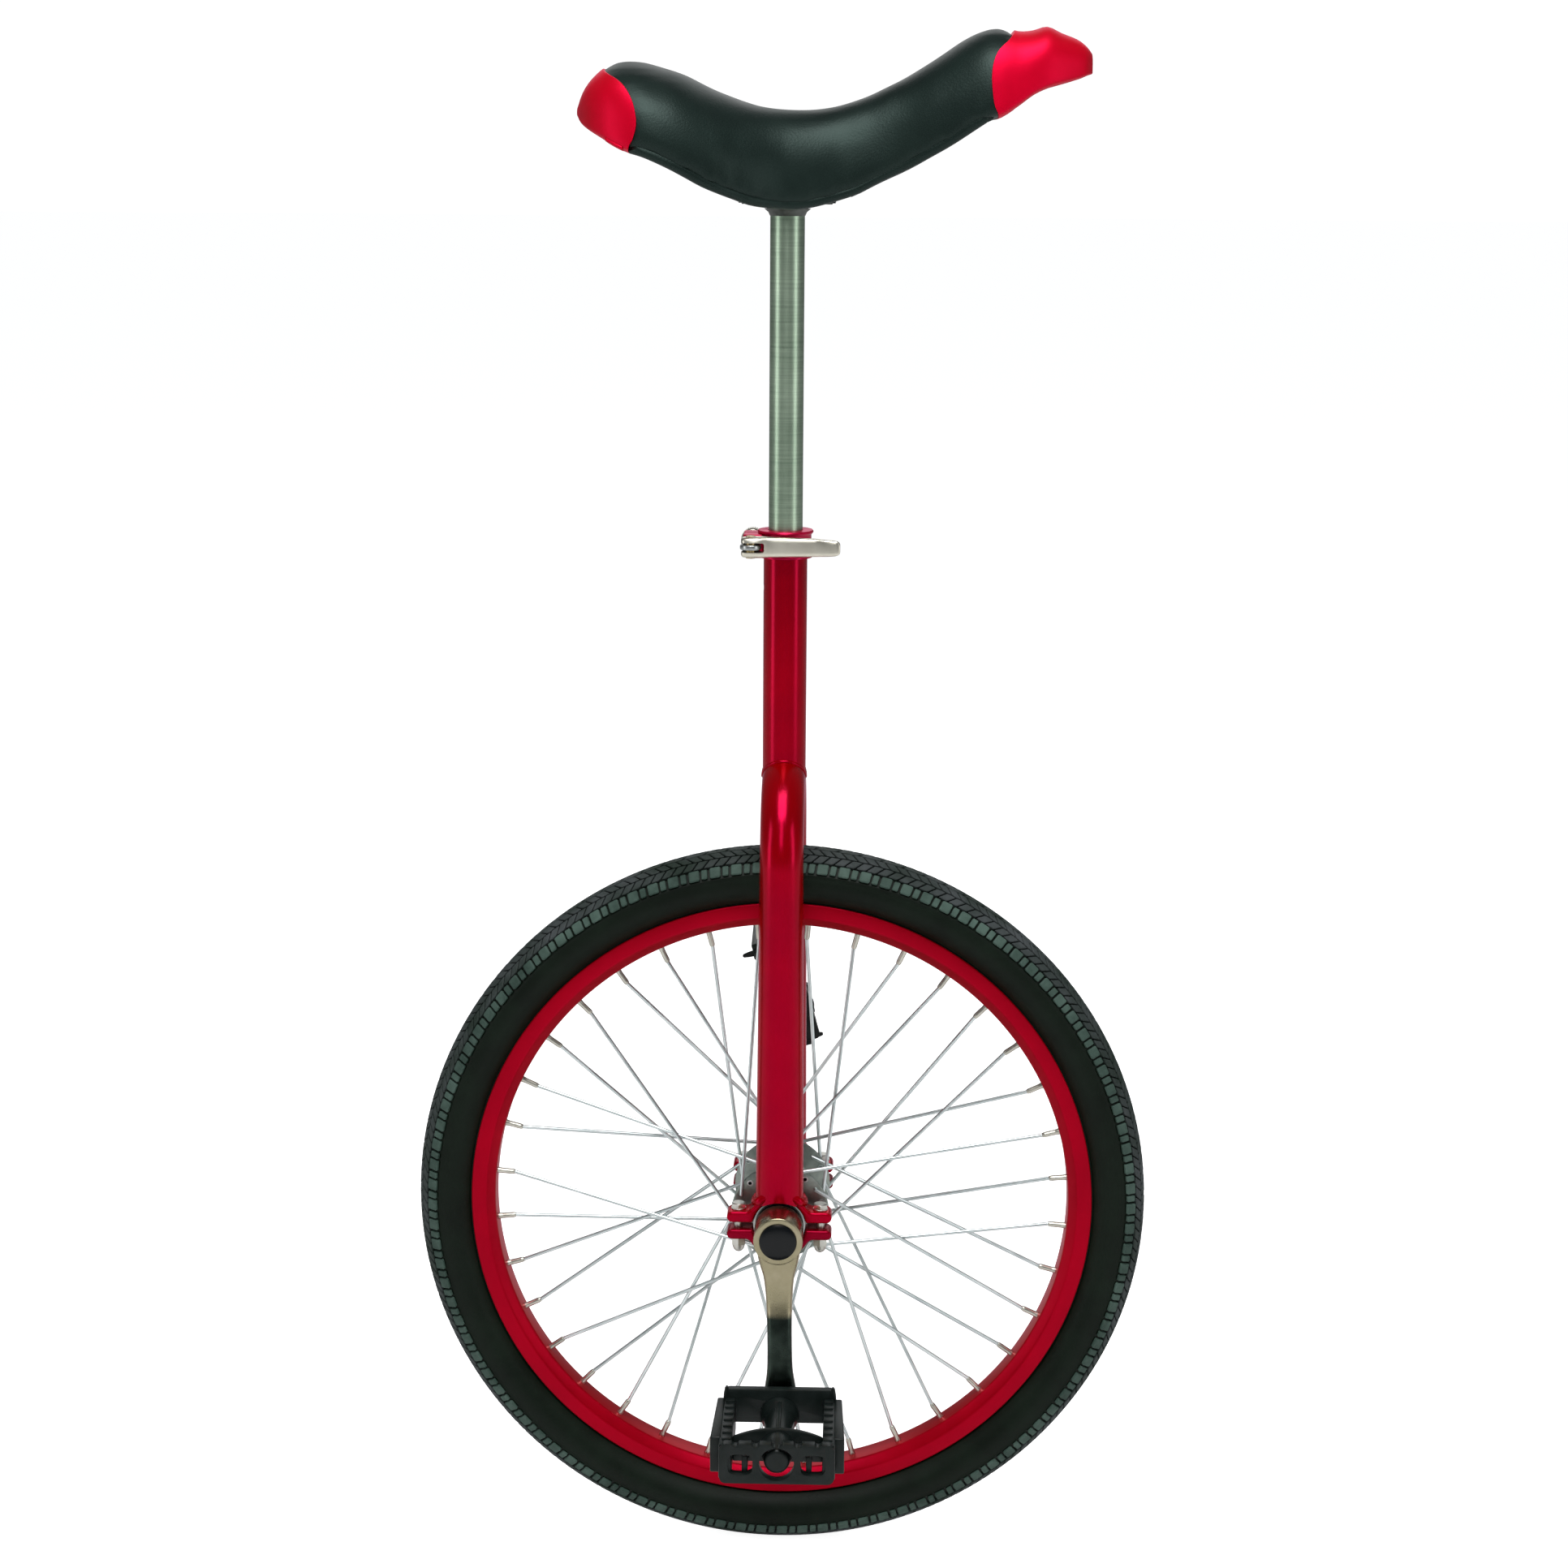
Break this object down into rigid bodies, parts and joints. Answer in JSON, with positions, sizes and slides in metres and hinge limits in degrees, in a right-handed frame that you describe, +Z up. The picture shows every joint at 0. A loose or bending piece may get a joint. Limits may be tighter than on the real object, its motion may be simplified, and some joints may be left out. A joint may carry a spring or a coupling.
{
  "type": "unicycle",
  "caption": "Single-wheel cycle with a fork frame, hub-driven cranks and pedals, and a height-adjustable saddle clamped by a quick-release lever.",
  "frame": {"origin": "on the ground below the middle of the hub, where the tyre touches", "axes": "+X forward, to the saddle's handle end; +Y to the rider's left, along the wheel's axis; +Z up along the seat tube"},
  "size_m": [0.496, 0.356, 1.0271],
  "materials": {
    "red_frame_paint": "gloss red enamel over steel",
    "red_clamp_paint": "gloss red anodised",
    "red_rim": "gloss red",
    "zinc_fasteners": "bright zinc",
    "bearing_steel": "ground steel",
    "hub_steel": "dull plated steel",
    "spoke_steel": "bright drawn wire",
    "post_steel": "satin, fine turned lines",
    "crank_chrome": "mirror chrome",
    "lever_chrome": "satin chrome",
    "brass_pin": "satin",
    "tyre_rubber": "matte tread, smoother sidewall",
    "tape_rubber": "matte",
    "black_plastic": "gloss black",
    "pedal_resin": "semi-gloss moulded resin",
    "base_plastic": "matte moulded",
    "saddle_vinyl": "glossy grained vinyl",
    "red_bumper_plastic": "gloss red",
    "amber_reflector": "clear amber"
  },
  "bodies": {
    "frame": {"fork_tube": "red_frame_paint", "seat_tube": "red_frame_paint", "bearing_holder_upper_right": "red_frame_paint", "bearing_holder_upper_left": "red_frame_paint", "bearing_holder_lower_right": "red_frame_paint", "bearing_holder_lower_left": "red_frame_paint", "holder_bolt_right_rear": "zinc_fasteners", "holder_bolt_right_front": "zinc_fasteners", "holder_bolt_left_rear": "zinc_fasteners", "holder_bolt_left_front": "zinc_fasteners", "holder_nut_right_rear": "zinc_fasteners", "holder_nut_right_front": "zinc_fasteners", "holder_nut_left_rear": "zinc_fasteners", "holder_nut_left_front": "zinc_fasteners", "bearing_outer_race_right": "bearing_steel", "bearing_outer_race_left": "bearing_steel"},
    "wheel": {"axle": "bearing_steel", "hub_shell": "hub_steel", "spokes_right": "spoke_steel", "spokes_left": "spoke_steel", "rim": "red_rim", "rim_tape": "tape_rubber", "inner_tube": "tape_rubber", "valve_cap": "black_plastic", "tyre": "tyre_rubber", "bearing_inner_race_right": "bearing_steel", "bearing_inner_race_left": "bearing_steel", "crank_right": "crank_chrome", "crank_left": "crank_chrome", "crank_bolt_right": "bearing_steel", "crank_bolt_left": "bearing_steel", "dust_cap_right": "black_plastic", "dust_cap_left": "black_plastic", "pedal_spindle_right": "bearing_steel", "pedal_spindle_left": "bearing_steel"},
    "ball_cage_right": {"bearing_ball_cage_right": "bearing_steel"},
    "ball_cage_left": {"bearing_ball_cage_left": "bearing_steel"},
    "pedal_right": {"pedal_body_right": "pedal_resin", "pedal_reflector_right_rear": "amber_reflector", "pedal_reflector_right_front": "amber_reflector"},
    "pedal_left": {"pedal_body_left": "pedal_resin", "pedal_reflector_left_rear": "amber_reflector", "pedal_reflector_left_front": "amber_reflector"},
    "clamp": {"clamp_collar": "red_clamp_paint", "qr_skewer": "bearing_steel", "qr_cam_washer": "black_plastic", "qr_cam_pin": "brass_pin"},
    "lever": {"qr_lever": "lever_chrome"},
    "thumb_nut": {"qr_nut": "lever_chrome"},
    "saddle": {"seat_post": "post_steel", "saddle_plate": "post_steel", "saddle_bolt_1": "zinc_fasteners", "saddle_bolt_2": "zinc_fasteners", "saddle_bolt_3": "zinc_fasteners", "saddle_bolt_4": "zinc_fasteners", "saddle_base": "base_plastic", "saddle_cushion": "saddle_vinyl", "front_bumper": "red_bumper_plastic", "rear_bumper": "red_bumper_plastic"}
  },
  "joints": [
    {"name": "wheel_spin", "type": "hinge", "parent": "frame", "child": "wheel", "pos_m": [0, 0, 0.248], "axis": [0, 1, 0], "continuous": true},
    {"name": "cage_right_spin", "type": "hinge", "parent": "frame", "child": "ball_cage_right", "pos_m": [0, -0.05, 0.248], "axis": [0, 1, 0], "continuous": true},
    {"name": "cage_left_spin", "type": "hinge", "parent": "frame", "child": "ball_cage_left", "pos_m": [0, 0.05, 0.248], "axis": [0, 1, 0], "continuous": true},
    {"name": "pedal_right_spin", "type": "hinge", "parent": "wheel", "child": "pedal_right", "pos_m": [0.00239, -0.138, 0.13403], "axis": [0, 1, 0], "continuous": true},
    {"name": "pedal_left_spin", "type": "hinge", "parent": "wheel", "child": "pedal_left", "pos_m": [-0.00239, 0.138, 0.36197], "axis": [0, 1, 0], "continuous": true},
    {"name": "saddle_swivel", "type": "hinge", "parent": "frame", "child": "clamp", "pos_m": [0, 0, 0.6992], "axis": [0, 0, 1], "continuous": true},
    {"name": "seat_height", "type": "slide", "parent": "clamp", "child": "saddle", "axis": [0, 0, 1], "range_m": [-0.05, 0.03]},
    {"name": "lever_swing", "type": "hinge", "parent": "clamp", "child": "lever", "pos_m": [-0.022, -0.0224, 0.6992], "axis": [0, 0, -1], "range_deg": [0, 180]},
    {"name": "thumb_nut_spin", "type": "hinge", "parent": "clamp", "child": "thumb_nut", "pos_m": [-0.022, 0.019, 0.6992], "axis": [0, 1, 0], "continuous": true}
  ],
  "couplings": [
    {"joint": "cage_right_spin", "follows": "wheel_spin", "ratio": 0.4077},
    {"joint": "cage_left_spin", "follows": "wheel_spin", "ratio": 0.4077}
  ]
}
